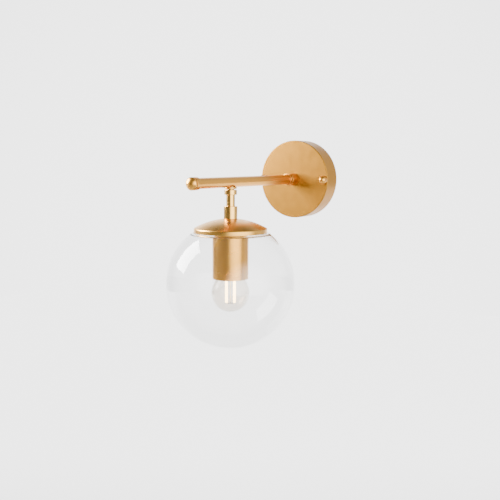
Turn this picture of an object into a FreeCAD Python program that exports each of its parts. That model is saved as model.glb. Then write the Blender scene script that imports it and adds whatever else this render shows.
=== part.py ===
import FreeCAD, Part
import math
import os

import Sketcher

# Globe wall sconce: a round canopy on the wall, a straight arm with a hanging
# stem, a domed cap with its lampholder, and a clear glass globe over the bulb.
# Millimetres. +Z up, the wall is the plane Y = 0, and the origin is the centre
# of the canopy's back. The sconce stands out of the wall along -Y.

SIZES = {
    # canopy and the bracket behind it
    "canopy_radius": 50.0, "canopy_depth": 25.0, "canopy_wall": 1.2, "canopy_edge": 1.2,
    "bracket_length": 95.0, "bracket_width": 14.0, "bracket_thickness": 2.0,
    "bracket_corner": 3.0, "bracket_slot_pitch": 54.0, "bracket_slot_length": 14.0,
    "bracket_slot_width": 4.5, "bracket_tab_width": 20.0, "bracket_tab_drop": 30.0,
    "nut_offset": 45.0, "nut_radius": 5.0, "nut_base": 4.0,
    "stud_radius": 2.0, "stud_clearance": 0.2, "stud_grip": 6.0, "stud_tip_gap": 0.4,
    "earth_offset": 12.0, "earth_head_radius": 3.8, "earth_head_height": 2.4,
    "earth_slot_width": 0.8, "earth_slot_depth": 1.2, "earth_screw_radius": 2.0,
    # terminal block on the bracket's tab
    "block_width": 30.0, "block_height": 16.0, "block_depth": 12.0, "block_drop": 20.0,
    "pole_pitch": 9.0, "wire_hole_radius": 2.2, "clamp_screw_radius": 1.6,
    "clamp_screw_pitch": 8.0, "clamp_screw_sink": 1.5, "clamp_screw_length": 4.0,
    # arm
    "fit_gap": 0.05, "thread_radius": 5.0, "thread_bore": 3.5, "lock_nut_corner": 8.1,
    "lock_nut_height": 2.6, "lock_washer_radius": 8.5, "lock_washer_thickness": 1.0,
    "nipple_tail": 2.0, "arm_collar_radius": 8.0, "arm_collar_length": 14.2,
    "arm_collar_floor": 2.0, "arm_spigot_length": 9.0, "arm_gap": 1.0, "arm_radius": 6.1,
    "arm_wall": 1.0, "rear_ring_radius": 7.6, "rear_ring_length": 2.8,
    "arm_reach": 236.0, "front_ring_radius": 7.2, "front_ring_length": 6.5,
    "cap_gap": 0.9, "cap_skirt": 2.1, "cap_dome_curve": 8.5, "cap_spigot_length": 10.0,
    "turned_edge": 0.6,
    # stem and its swivel
    "stem_reach": 166.0, "insert_length": 18.0, "insert_wire_bore": 3.0,
    "bead_radius": 7.2, "bead_bite": 0.7, "bead_height": 2.6, "bead_round": 1.1,
    "pivot_top": 1.0, "pivot_radius": 4.0, "pivot_bore": 2.8, "pivot_flange_radius": 5.0,
    "pivot_flange_thickness": 1.2, "swivel_gap": 0.8, "running_gap": 0.08,
    "swivel_radius": 7.3, "swivel_height": 5.7, "swivel_top_wall": 1.2,
    "swivel_cavity_radius": 6.1, "spring_washer_thickness": 0.5, "stop_width": 1.2,
    "stop_length": 0.8, "stem_thread_length": 2.3, "stem_visible": 13.2,
    "stem_insertion": 5.0, "sleeve_radius": 7.9, "sleeve_height": 14.7,
    "sleeve_web": 3.0, "nipple_gap": 0.2,
    # domed cap
    "dome_radius": 42.7, "dome_seat_radius": 8.4, "dome_rise": 11.1, "dome_band": 4.7,
    "dome_wall": 1.2, "dome_edge": 2.8, "rim_edge": 0.9, "lip_reach": 1.2, "lip_height": 1.2,
    "vent_radius": 2.0, "vent_circle": 23.0, "vent_count": 3, "vent_angle": 60.0,
    # lampholder and its cover
    "cup_radius": 21.0, "cup_wall": 1.0, "cup_height": 66.0, "cup_edge": 3.0,
    "holder_radius": 19.2, "holder_cap_height": 15.0, "holder_cap_wall": 3.0,
    "holder_cap_top": 5.0, "holder_edge": 3.0, "holder_height": 40.0, "holder_floor": 6.0,
    "holder_bore": 14.3, "shell_radius": 14.2, "shell_wall": 0.6, "shell_height": 24.0,
    "shell_hole": 5.5, "nipple_hold": 4.0, "contact_width": 6.0, "contact_thickness": 0.5,
    "contact_foot": 4.5, "contact_bend": 1.0, "contact_tip": 4.0, "contact_gap": 0.2,
    # bulb
    "bulb_radius": 22.5, "bulb_centre": 129.4, "bulb_glass": 0.8, "bulb_neck_radius": 12.6,
    "bulb_neck_top": 99.0, "bulb_cap_radius": 13.2, "bulb_cap_top": 79.0,
    "bulb_cap_bottom": 101.5, "bulb_cap_wall": 0.4, "bulb_cap_taper": 2.0,
    "insulator_top_radius": 5.0, "insulator_radius": 10.5, "insulator_height": 3.5,
    "bulb_tip_radius": 4.6, "bulb_tip_height": 1.6, "pillar_top": 100.5,
    "pillar_flare_radius": 11.5, "pillar_flare": 4.0, "pillar_radius": 2.6,
    "pillar_bottom": 111.5, "filament_spacing": 8.0, "filament_length": 27.0,
    "filament_radius": 1.1, "filament_top": 114.5, "wire_radius": 0.35, "wire_spacing": 3.0,
    "filament_turn": -35.0,
    # globe
    "globe_radius": 75.0, "globe_glass": 2.2, "globe_gap": 0.5,
    "neck_clearance": 0.4, "neck_height": 3.4, "neck_round": 1.2,
    "shoulder_step": 5.35, "shoulder_round": 3.0,
    "gasket_thickness": 1.6, "gasket_width": 2.6,
}

doc = FreeCAD.newDocument("globe_wall_sconce")
sheet = doc.addObject("Spreadsheet::Sheet", "Sizes")
for row, (alias, number) in enumerate(SIZES.items(), start=1):
    sheet.set(f"A{row}", alias)
    sheet.set(f"B{row}", str(number))
    sheet.setAlias(f"B{row}", alias)
doc.recompute()


class Length:
    """A size known both as a number and as the expression that gives it."""

    def __init__(self, number, text):
        self.number = number
        self.text = text

    def __add__(self, other):
        return Length(self.number + as_length(other).number, f"({self.text} + {as_length(other).text})")

    def __sub__(self, other):
        return Length(self.number - as_length(other).number, f"({self.text} - {as_length(other).text})")

    def __mul__(self, factor):
        return Length(self.number * factor, f"({self.text} * {factor})")

    def __truediv__(self, divisor):
        return Length(self.number / divisor, f"({self.text} / {divisor})")

    def __neg__(self):
        return Length(-self.number, f"(-{self.text})")


class Free:
    """A coordinate that the outline's other constraints settle; number is where it starts."""

    def __init__(self, number):
        self.number = number


class Arc:
    """The side that leaves a corner is an arc whose centre lies on the piece's axis."""

    def __init__(self, radius, centre, shares_centre=None):
        self.radius = radius
        self.centre = centre
        self.shares_centre = shares_centre


class SheetSizes:
    """Each size in the sheet by its alias, as a Length."""

    def __getattr__(self, alias):
        return Length(SIZES[alias], f"Sizes.{alias}")


def as_length(thing):
    return thing if isinstance(thing, Length) else Length(thing, str(thing))


mm = SheetSizes()

# Where the local axis of a piece points: out of the wall, or down from the arm.
OUT_OF_WALL = FreeCAD.Rotation(FreeCAD.Vector(1, 0, 0), 90)
DOWN = FreeCAD.Rotation(FreeCAD.Vector(1, 0, 0), 180)
UPRIGHT = FreeCAD.Rotation()

PIECES = {}


def put(thing, rotation=UPRIGHT, x=None, y=None, z=None):
    """Give a piece its place, bound to the sheet where a coordinate is a Length."""
    thing.Placement = FreeCAD.Placement(FreeCAD.Vector(), rotation)
    for axis, length in (("x", x), ("y", y), ("z", z)):
        if length is not None:
            thing.setExpression(f"Placement.Base.{axis}", length.text)


def keep(label, thing):
    """Register a finished sub-part under its label."""
    thing.Label = label
    PIECES[label] = thing
    return thing


def new_body(label):
    return keep(label, doc.addObject("PartDesign::Body", label))


def plane_sketch(body, role, name):
    """A sketch on one of the body's own origin planes."""
    sketch = body.newObject("Sketcher::SketchObject", name)
    planes = [plane for plane in body.Origin.OriginFeatures if plane.Role == role]
    sketch.AttachmentSupport = [(planes[0], "")]
    sketch.MapMode = "FlatFace"
    return sketch


def dimension(sketch, kind, geometry, corner, length):
    """Dimension one coordinate of a point from the sketch's origin."""
    if isinstance(length, Free):
        return
    if not isinstance(length, Length):
        axis = -2 if kind == "DistanceX" else -1
        sketch.addConstraint(Sketcher.Constraint("PointOnObject", geometry, corner, axis))
        return
    index = sketch.addConstraint(Sketcher.Constraint(kind, -1, 1, geometry, corner, length.number))
    sketch.setExpression(f"Constraints[{index}]", length.text)


def size_arc(sketch, geometry, arc, drawn):
    """Dimension an arc by its radius and the place of its centre."""
    if arc.shares_centre is not None:
        sketch.addConstraint(Sketcher.Constraint("Coincident", geometry, 3, drawn[arc.shares_centre][0], 3))
    else:
        sketch.addConstraint(Sketcher.Constraint("PointOnObject", geometry, 3, -2))
        dimension(sketch, "DistanceY", geometry, 3, arc.centre)
    if not isinstance(arc.radius, Free):
        index = sketch.addConstraint(Sketcher.Constraint("Radius", geometry, arc.radius.number))
        sketch.setExpression(f"Constraints[{index}]", arc.radius.text)


def start_arc(arc, start, end):
    """An arc through both corners, near enough for the constraints to settle it."""
    centre = FreeCAD.Vector(0, arc.centre.number, 0)
    circle = Part.Circle(centre, FreeCAD.Vector(0, 0, 1), arc.radius.number)
    angles = [math.atan2(point.y - centre.y, point.x) for point in (start, end)]
    return Part.ArcOfCircle(circle, min(angles), max(angles)), angles[0] < angles[1]


def draw_outline(sketch, corners):
    """Draw a closed outline. A corner is (across, along), with an Arc third where its
    side is an arc, and "tangent" last where the sides run smoothly into each other."""
    def number(coordinate):
        return coordinate.number if hasattr(coordinate, "number") else float(coordinate)

    points = [FreeCAD.Vector(number(corner[0]), number(corner[1]), 0) for corner in corners]
    drawn = []
    for index, corner in enumerate(corners):
        start, end = points[index], points[(index + 1) % len(points)]
        arc = corner[2] if len(corner) > 2 and isinstance(corner[2], Arc) else None
        forward = True
        side = Part.LineSegment(start, end)
        if arc:
            side, forward = start_arc(arc, start, end)
        drawn.append((sketch.addGeometry(side, False), 1 if forward else 2, 2 if forward else 1))
    for index, corner in enumerate(corners):
        before, here = drawn[index - 1], drawn[index]
        kind = "Tangent" if corner[-1] == "tangent" else "Coincident"
        sketch.addConstraint(Sketcher.Constraint(kind, before[0], before[2], here[0], here[1]))
        dimension(sketch, "DistanceX", here[0], here[1], corner[0])
        dimension(sketch, "DistanceY", here[0], here[1], corner[1])
        if len(corner) > 2 and isinstance(corner[2], Arc):
            size_arc(sketch, here[0], corner[2], drawn)


def turned(label, corners, rotation, **place):
    """A turned piece: an outline of (radius, distance along the axis) spun full circle."""
    body = new_body(label)
    sketch = plane_sketch(body, "XZ_Plane", f"{label}_outline")
    draw_outline(sketch, corners)
    turn = body.newObject("PartDesign::Revolution", f"{label}_turn")
    turn.Profile = sketch
    turn.ReferenceAxis = (sketch, ["V_Axis"])
    turn.Angle = 360
    put(body, rotation, **place)
    doc.recompute()
    return body


def tube_outline(outer, inner, start, end):
    return [(outer, start), (outer, end), (inner, end), (inner, start)]


def rim_edges(body, spots):
    """The names of the circular edges at each (radius, distance along the axis)."""
    names = []
    for index, edge in enumerate(body.Tip.Shape.Edges, start=1):
        if edge.Degenerated or not isinstance(edge.Curve, Part.Circle):
            continue
        for radius, along in spots:
            near = abs(edge.Curve.Radius - radius.number) < 1e-4
            if near and abs(edge.Curve.Center.z - along.number) < 1e-4:
                names.append(f"Edge{index}")
    return names


def soften(body, kind, spots, size):
    """Fillet or chamfer the rims at the given spots."""
    before = body.Tip
    edges = rim_edges(body, spots)
    feature = body.newObject(f"PartDesign::{kind}", f"{body.Name}_{kind.lower()}")
    feature.Base = (before, edges)
    feature.setExpression("Radius" if kind == "Fillet" else "Size", size.text)
    doc.recompute()
    return feature


def circle_in(sketch, across, along, radius):
    """A dimensioned circle."""
    centre = FreeCAD.Vector(as_length(across).number, as_length(along).number, 0)
    circle = Part.Circle(centre, FreeCAD.Vector(0, 0, 1), radius.number)
    geometry = sketch.addGeometry(circle, False)
    dimension(sketch, "DistanceX", geometry, 3, across)
    dimension(sketch, "DistanceY", geometry, 3, along)
    index = sketch.addConstraint(Sketcher.Constraint("Radius", geometry, radius.number))
    sketch.setExpression(f"Constraints[{index}]", radius.text)


def cut_through(body, sketch, both_ways=True, reverse=False):
    """Pocket a sketch right through the body, and make sure that it cut something."""
    before = body.Tip.Shape.Volume
    pocket = body.newObject("PartDesign::Pocket", f"{sketch.Name}_cut")
    pocket.Profile = sketch
    pocket.Type = 1
    pocket.Midplane = both_ways
    pocket.Reversed = reverse
    doc.recompute()
    if pocket.Shape.Volume >= before:
        raise RuntimeError(f"{sketch.Name} cuts nothing")
    return pocket


def drill(body, name, role, spots, radius, both_ways=True, reverse=False):
    """Round holes square to one of the body's planes."""
    sketch = plane_sketch(body, role, name)
    for across, along in spots:
        circle_in(sketch, across, along, radius)
    return cut_through(body, sketch, both_ways, reverse)


def slot_in(sketch, start, end, radius):
    """A round-ended slot on the sketch's horizontal axis."""
    lying = FreeCAD.Vector(0, 0, 1)
    rise = FreeCAD.Vector(0, radius.number, 0)
    ends = [FreeCAD.Vector(place.number, 0, 0) for place in (start, end)]
    first = Part.ArcOfCircle(Part.Circle(ends[0], lying, radius.number), math.pi / 2, math.pi * 1.5)
    last = Part.ArcOfCircle(Part.Circle(ends[1], lying, radius.number), -math.pi / 2, math.pi / 2)
    upper = Part.LineSegment(ends[0] + rise, ends[1] + rise)
    lower = Part.LineSegment(ends[0] - rise, ends[1] - rise)
    first, last, upper, lower = [sketch.addGeometry(side, False) for side in (first, last, upper, lower)]
    for arc, corner, line, line_end in ((first, 1, upper, 1), (first, 2, lower, 1),
                                        (last, 2, upper, 2), (last, 1, lower, 2)):
        sketch.addConstraint(Sketcher.Constraint("Tangent", arc, corner, line, line_end))
    for arc, place in ((first, start), (last, end)):
        sketch.addConstraint(Sketcher.Constraint("PointOnObject", arc, 3, -1))
        dimension(sketch, "DistanceX", arc, 3, place)
    index = sketch.addConstraint(Sketcher.Constraint("Radius", first, radius.number))
    sketch.setExpression(f"Constraints[{index}]", radius.text)


def padded(body, sketch, thickness, reverse=False):
    pad = body.newObject("PartDesign::Pad", f"{sketch.Name}_pad")
    pad.Profile = sketch
    pad.Reversed = reverse
    pad.setExpression("Length", thickness.text)
    doc.recompute()
    return pad


def lock_nut(label, corner_radius, height, bore, rotation, **place):
    """A hexagon nut."""
    hexagon = doc.addObject("Part::Prism", f"{label}_hexagon")
    hexagon.Polygon = 6
    hexagon.setExpression("Circumradius", corner_radius.text)
    hexagon.setExpression("Height", height.text)
    hole = doc.addObject("Part::Cylinder", f"{label}_hole")
    hole.setExpression("Radius", bore.text)
    hole.setExpression("Height", height.text)
    nut = doc.addObject("Part::Cut", label)
    nut.Base = hexagon
    nut.Tool = hole
    put(nut, rotation, **place)
    return keep(label, nut)


def group(label, members):
    """Like fasteners that share a node."""
    compound = doc.addObject("Part::Compound", label)
    compound.Links = members
    return keep(label, compound)


def make_bracket():
    """Crossbar with a tab below it, two slots for the wall screws and a cable hole."""
    body = new_body("wall_bracket")
    sketch = plane_sketch(body, "XZ_Plane", "bracket_outline")
    half, edge, tab = mm.bracket_length / 2, mm.bracket_width / 2, mm.bracket_tab_width / 2
    draw_outline(sketch, [
        (-half, edge), (half, edge), (half, -edge), (tab, -edge),
        (tab, -mm.bracket_tab_drop), (-tab, -mm.bracket_tab_drop), (-tab, -edge), (-half, -edge),
    ])
    padded(body, sketch, mm.bracket_thickness)
    before = body.Tip
    upright = [f"Edge{index}" for index, side in enumerate(body.Tip.Shape.Edges, start=1)
               if side.BoundBox.YLength > side.BoundBox.DiagonalLength * 0.99
               and abs(side.BoundBox.Center.x) > half.number - 0.01]
    corners = body.newObject("PartDesign::Fillet", "bracket_corners")
    corners.Base = (before, upright)
    corners.setExpression("Radius", mm.bracket_corner.text)
    doc.recompute()
    slots = plane_sketch(body, "XZ_Plane", "bracket_slots")
    straight = (mm.bracket_slot_length - mm.bracket_slot_width) / 2
    for side in (-1, 1):
        middle = mm.bracket_slot_pitch / 2 * side
        slot_in(slots, middle - straight, middle + straight, mm.bracket_slot_width / 2)
    cut_through(body, slots)
    drill(body, "bracket_cable_hole", "XZ_Plane", [(0, 0)], mm.thread_radius)
    drill(body, "bracket_earth_hole", "XZ_Plane", [(mm.earth_offset, 0)], mm.earth_screw_radius)
    return body


def make_studs():
    """Two threaded studs that stand on the crossbar and pass through the canopy."""
    studs = []
    for side, name in ((-1, "left"), (1, "right")):
        stud = doc.addObject("Part::Cylinder", f"stud_{name}")
        stud.setExpression("Radius", mm.stud_radius.text)
        stud.setExpression("Height", (mm.canopy_depth - mm.bracket_thickness + mm.stud_grip).text)
        put(stud, OUT_OF_WALL, x=mm.nut_offset * side, y=-mm.bracket_thickness)
        studs.append(stud)
    group("canopy_studs", studs)


def make_cap_nuts():
    """A domed nut on each stud, which holds the canopy to the wall."""
    start = mm.canopy_depth
    dome_start = start + mm.nut_base
    depth = start + mm.stud_grip + mm.stud_tip_gap
    bore = mm.stud_radius + mm.running_gap
    for side, name in ((-1, "left"), (1, "right")):
        body = turned(f"cap_nut_{name}", [
            (bore, start), (mm.nut_radius, start),
            (Free(mm.nut_radius.number), dome_start, Arc(mm.nut_radius, dome_start)),
            (0, Free(dome_start.number + mm.nut_radius.number)), (0, depth), (bore, depth),
        ], OUT_OF_WALL, x=mm.nut_offset * side)
        soften(body, "Chamfer", [(mm.nut_radius, start)], mm.turned_edge)


def make_earth_screw():
    """Slotted screw for the earth wire, on the crossbar."""
    start = mm.bracket_thickness
    top = start + mm.earth_head_height
    body = turned("earth_screw", [
        (0, 0), (mm.earth_screw_radius, 0), (mm.earth_screw_radius, start),
        (mm.earth_head_radius, start), (mm.earth_head_radius, top), (0, top),
    ], OUT_OF_WALL, x=mm.earth_offset)
    soften(body, "Fillet", [(mm.earth_head_radius, top)], mm.turned_edge)
    sketch = plane_sketch(body, "XZ_Plane", "earth_screw_slot")
    half = mm.earth_slot_width / 2
    floor, clear = top - mm.earth_slot_depth, top + mm.earth_slot_depth
    draw_outline(sketch, [(-half, floor), (half, floor), (half, clear), (-half, clear)])
    cut_through(body, sketch)


def make_terminal_block():
    """Three-pole terminal block on the bracket's tab, with its clamping screws."""
    body = new_body("terminal_block")
    sketch = plane_sketch(body, "XZ_Plane", "block_outline")
    sketch.setExpression("AttachmentOffset.Base.z", mm.bracket_thickness.text)
    half, upper = mm.block_width / 2, -(mm.block_drop - mm.block_height / 2)
    lower = -(mm.block_drop + mm.block_height / 2)
    draw_outline(sketch, [(-half, upper), (half, upper), (half, lower), (-half, lower)])
    padded(body, sketch, mm.block_depth)
    poles = [-mm.pole_pitch, 0, mm.pole_pitch]
    middle = mm.bracket_thickness + mm.block_depth / 2
    drill(body, "block_wire_holes", "XY_Plane", [(pole, -middle) for pole in poles], mm.wire_hole_radius)
    front = mm.bracket_thickness + mm.block_depth
    rows = [-(mm.block_drop - mm.clamp_screw_pitch / 2), -(mm.block_drop + mm.clamp_screw_pitch / 2)]
    wells = plane_sketch(body, "XZ_Plane", "block_screw_wells")
    wells.setExpression("AttachmentOffset.Base.z", front.text)
    for pole in poles:
        for height in rows:
            circle_in(wells, pole, height, mm.clamp_screw_radius)
    before = body.Tip.Shape.Volume
    pocket = body.newObject("PartDesign::Pocket", "block_screw_wells_cut")
    pocket.Profile = wells
    pocket.setExpression("Length", (mm.block_depth / 2).text)
    doc.recompute()
    if pocket.Shape.Volume >= before:
        raise RuntimeError("the screw wells cut nothing")
    screws = []
    for pole in poles:
        for height in rows:
            screw = doc.addObject("Part::Cylinder", "clamp_screw")
            screw.setExpression("Radius", (mm.clamp_screw_radius - mm.fit_gap).text)
            screw.setExpression("Height", mm.clamp_screw_length.text)
            place = as_length(pole)
            start = front - mm.clamp_screw_sink - mm.clamp_screw_length
            put(screw, OUT_OF_WALL, x=place, y=-start, z=height)
            screws.append(screw)
    group("terminal_screws", screws)


def make_canopy():
    """Deep-drawn cup with a flat face, holes for the studs and for the arm's nipple."""
    outer, inner, face = mm.canopy_radius, mm.canopy_radius - mm.canopy_wall, mm.canopy_depth
    hole = mm.thread_radius + mm.fit_gap
    body = turned("canopy", [
        (hole, face), (outer, face), (outer, 0), (inner, 0),
        (inner, face - mm.canopy_wall), (hole, face - mm.canopy_wall),
    ], OUT_OF_WALL)
    soften(body, "Fillet", [(outer, face)], mm.canopy_edge)
    studs = [(mm.nut_offset * side, 0) for side in (-1, 1)]
    drill(body, "canopy_stud_holes", "XY_Plane", studs, mm.stud_radius + mm.stud_clearance)


def make_arm():
    """Nipple, nut and washer in the canopy, then collar, tube, rings and end cap."""
    face = mm.canopy_depth
    inside = face - mm.canopy_wall
    washer = inside - mm.lock_washer_thickness
    nut = washer - mm.lock_nut_height
    collar_end = face + mm.arm_collar_length
    floor = collar_end - mm.arm_collar_floor
    tube_start = collar_end + mm.arm_gap
    spigot = mm.arm_radius - mm.arm_wall - mm.fit_gap
    spigot_end = tube_start + mm.arm_spigot_length
    snug = mm.arm_radius + mm.fit_gap

    turned("arm_nipple", tube_outline(mm.thread_radius, mm.thread_bore, nut - mm.nipple_tail,
                                      floor - mm.nipple_gap), OUT_OF_WALL)
    lock_nut("arm_lock_nut", mm.lock_nut_corner, mm.lock_nut_height, mm.thread_radius,
             OUT_OF_WALL, y=-nut)
    turned("arm_lock_washer", tube_outline(mm.lock_washer_radius, mm.thread_radius + mm.fit_gap,
                                           washer, inside), OUT_OF_WALL)
    collar = turned("arm_collar", [
        (mm.thread_radius, face), (mm.arm_collar_radius, face), (mm.arm_collar_radius, collar_end),
        (spigot, collar_end), (spigot, spigot_end), (mm.thread_bore, spigot_end),
        (mm.thread_bore, floor), (mm.thread_radius, floor),
    ], OUT_OF_WALL)
    soften(collar, "Fillet", [(mm.arm_collar_radius, collar_end)], mm.turned_edge)
    ring = turned("arm_rear_ring", tube_outline(mm.rear_ring_radius, snug, tube_start,
                                                tube_start + mm.rear_ring_length), OUT_OF_WALL)
    soften(ring, "Fillet", [(mm.rear_ring_radius, tube_start + mm.rear_ring_length)], mm.turned_edge)
    tube = turned("arm_tube", tube_outline(mm.arm_radius, mm.arm_radius - mm.arm_wall, tube_start,
                                           mm.arm_reach), OUT_OF_WALL)
    drill(tube, "arm_stem_hole", "XZ_Plane", [(0, mm.stem_reach)], mm.pivot_radius + mm.fit_gap,
          both_ways=False, reverse=True)
    ring_start = mm.arm_reach - mm.front_ring_length
    front = turned("arm_front_ring", tube_outline(mm.front_ring_radius, snug, ring_start,
                                                  mm.arm_reach), OUT_OF_WALL)
    soften(front, "Fillet", [(mm.front_ring_radius, ring_start),
                             (mm.front_ring_radius, mm.arm_reach)], mm.turned_edge)
    start = mm.arm_reach + mm.cap_gap
    equator = start + mm.cap_skirt
    back = start - mm.cap_spigot_length
    sink = math.sqrt(mm.cap_dome_curve.number ** 2 - mm.front_ring_radius.number ** 2)
    cap = turned("arm_end_cap", [
        (0, back), (spigot, back), (spigot, start), (mm.front_ring_radius, start),
        (mm.front_ring_radius, equator, Arc(mm.cap_dome_curve, Free(equator.number - sink))),
        (0, Free(equator.number - sink + mm.cap_dome_curve.number)),
    ], OUT_OF_WALL)
    soften(cap, "Fillet", [(mm.front_ring_radius, start), (mm.front_ring_radius, equator)], mm.turned_edge)
    insert = turned("tube_insert", tube_outline(
        spigot, mm.insert_wire_bore, mm.stem_reach - mm.insert_length / 2,
        mm.stem_reach + mm.insert_length / 2), OUT_OF_WALL)
    drill(insert, "insert_stem_hole", "XZ_Plane", [(0, mm.stem_reach)], mm.pivot_radius + mm.fit_gap,
          both_ways=False, reverse=True)


# Depths below the arm's axis, down the stem.
BEAD_TOP = mm.arm_radius - mm.bead_bite
BEAD_BOTTOM = BEAD_TOP + mm.bead_height
SWIVEL_TOP = BEAD_BOTTOM + mm.swivel_gap
SWIVEL_BOTTOM = SWIVEL_TOP + mm.swivel_height
CAVITY_TOP = SWIVEL_TOP + mm.swivel_top_wall
STEM_TOP = SWIVEL_BOTTOM - mm.stem_thread_length
SLEEVE_TOP = SWIVEL_BOTTOM + mm.stem_visible
STEM_END = SLEEVE_TOP + mm.stem_insertion
WEB_BOTTOM = STEM_END + mm.sleeve_web
SEAT = SLEEVE_TOP + mm.sleeve_height
RIM_TOP = SEAT + mm.dome_rise
RIM_BOTTOM = RIM_TOP + mm.dome_band
CUP_TOP = SEAT + mm.dome_wall + mm.lock_nut_height
HOLDER_TOP = CUP_TOP + mm.cup_wall
HOLDER_JOINT = HOLDER_TOP + mm.holder_cap_height
SHELL_TOP = HOLDER_JOINT + mm.holder_floor
BULB_TIP = mm.bulb_cap_top - mm.insulator_height - mm.bulb_tip_height
NECK_RADIUS = mm.dome_radius - mm.dome_wall - mm.lip_reach - mm.neck_clearance


def hang(label, corners):
    """A turned piece on the stem's axis, below the arm."""
    return turned(label, corners, DOWN, y=-mm.stem_reach)


def stop_block(body, name, start, end, near, far):
    """A small block between two depths, from near to far off the axis."""
    sketch = plane_sketch(body, "XY_Plane", name)
    sketch.setExpression("AttachmentOffset.Base.z", start.text)
    half = mm.stop_width / 2
    draw_outline(sketch, [(near, -half), (far, -half), (far, half), (near, half)])
    padded(body, sketch, end - start)


def make_swivel():
    """The joint under the arm: bead, pivot with its flange and stop, washer and shell."""
    bead = hang("swivel_bead", tube_outline(mm.bead_radius, mm.pivot_radius + mm.fit_gap,
                                            BEAD_TOP, BEAD_BOTTOM))
    soften(bead, "Fillet", [(mm.bead_radius, BEAD_TOP), (mm.bead_radius, BEAD_BOTTOM)], mm.bead_round)
    drill(bead, "bead_saddle", "XZ_Plane", [(0, 0)], mm.arm_radius)

    washer_top = CAVITY_TOP + mm.running_gap
    flange_top = washer_top + mm.spring_washer_thickness
    flange_bottom = flange_top + mm.pivot_flange_thickness
    pivot = hang("swivel_pivot", [
        (mm.pivot_bore, mm.pivot_top), (mm.pivot_radius, mm.pivot_top), (mm.pivot_radius, flange_top),
        (mm.pivot_flange_radius, flange_top), (mm.pivot_flange_radius, flange_bottom),
        (mm.pivot_bore, flange_bottom),
    ])
    stop_reach = mm.swivel_cavity_radius - (mm.swivel_cavity_radius - mm.pivot_flange_radius) / 4
    stop_block(pivot, "pivot_stop", flange_top, flange_bottom, -stop_reach, -mm.pivot_radius)
    hang("swivel_washer", tube_outline(mm.pivot_flange_radius, mm.pivot_radius + mm.fit_gap,
                                       washer_top, flange_top))
    shell = hang("swivel_shell", [
        (mm.pivot_radius + mm.running_gap, SWIVEL_TOP), (mm.swivel_radius, SWIVEL_TOP),
        (mm.swivel_radius, SWIVEL_BOTTOM), (mm.thread_radius, SWIVEL_BOTTOM),
        (mm.thread_radius, STEM_TOP), (mm.swivel_cavity_radius, STEM_TOP),
        (mm.swivel_cavity_radius, CAVITY_TOP), (mm.pivot_radius + mm.running_gap, CAVITY_TOP),
    ])
    soften(shell, "Fillet", [(mm.swivel_radius, SWIVEL_TOP), (mm.swivel_radius, SWIVEL_BOTTOM)],
           mm.turned_edge)
    stop_start = mm.swivel_cavity_radius - mm.stop_length
    stop_block(shell, "shell_stop", CAVITY_TOP, STEM_TOP, stop_start,
               (mm.swivel_cavity_radius + mm.swivel_radius) / 2)


def make_stem():
    """Threaded stem, the sleeve that it screws into, and the nipple below."""
    hang("stem_tube", tube_outline(mm.thread_radius, mm.thread_bore, STEM_TOP, STEM_END))
    sleeve = hang("stem_sleeve", [
        (mm.thread_radius, SLEEVE_TOP), (mm.sleeve_radius, SLEEVE_TOP), (mm.sleeve_radius, SEAT),
        (mm.thread_radius, SEAT), (mm.thread_radius, WEB_BOTTOM), (mm.thread_bore, WEB_BOTTOM),
        (mm.thread_bore, STEM_END), (mm.thread_radius, STEM_END),
    ])
    soften(sleeve, "Chamfer", [(mm.sleeve_radius, SLEEVE_TOP)], mm.turned_edge)
    hang("cap_nipple", tube_outline(mm.thread_radius, mm.thread_bore, WEB_BOTTOM + mm.nipple_gap,
                                    HOLDER_TOP + mm.nipple_hold))


def make_dome():
    """Spun cap: a shallow dome, a straight band and a rolled lip, with three vents."""
    wall, radius, flat = mm.dome_wall, mm.dome_radius, mm.dome_seat_radius
    inner_radius = radius - wall
    lip, lip_top = inner_radius - mm.lip_reach, RIM_BOTTOM - mm.lip_height
    hole = mm.thread_radius + mm.fit_gap
    rise = mm.dome_rise.number
    fall = (rise ** 2 + radius.number ** 2 - flat.number ** 2) / (2 * rise)
    centre = SEAT.number + fall
    curve = math.hypot(flat.number, fall)
    inner_curve = math.hypot(flat.number, fall - wall.number)
    inner_rim = centre - math.sqrt(inner_curve ** 2 - inner_radius.number ** 2)
    body = hang("dome_cap", [
        (hole, SEAT), (flat, SEAT, Arc(Free(curve), Free(centre))), (radius, RIM_TOP),
        (radius, RIM_BOTTOM), (lip, RIM_BOTTOM), (lip, lip_top), (inner_radius, lip_top),
        (inner_radius, Free(inner_rim), Arc(Free(inner_curve), Free(centre), 1)),
        (flat, SEAT + wall), (hole, SEAT + wall),
    ])
    soften(body, "Fillet", [(radius, RIM_TOP)], mm.dome_edge)
    soften(body, "Fillet", [(radius, RIM_BOTTOM)], mm.rim_edge)
    vent = drill(body, "dome_vent", "XY_Plane", [(mm.vent_circle, 0)], mm.vent_radius)
    vents = body.newObject("PartDesign::PolarPattern", "dome_vents")
    vents.Originals = [vent]
    vents.Axis = (vent.Profile[0], ["N_Axis"])
    vents.Angle = 360
    vents.setExpression("Occurrences", mm.vent_count.text)
    body.Tip = vents
    body.Placement = FreeCAD.Placement(FreeCAD.Vector(), DOWN.multiply(
        FreeCAD.Rotation(FreeCAD.Vector(0, 0, 1), mm.vent_angle.number)))
    body.setExpression("Placement.Base.y", (-mm.stem_reach).text)
    lock_nut("dome_lock_nut", mm.lock_nut_corner, mm.lock_nut_height, mm.thread_radius, DOWN,
             y=-mm.stem_reach, z=-(SEAT + mm.dome_wall))


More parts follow.
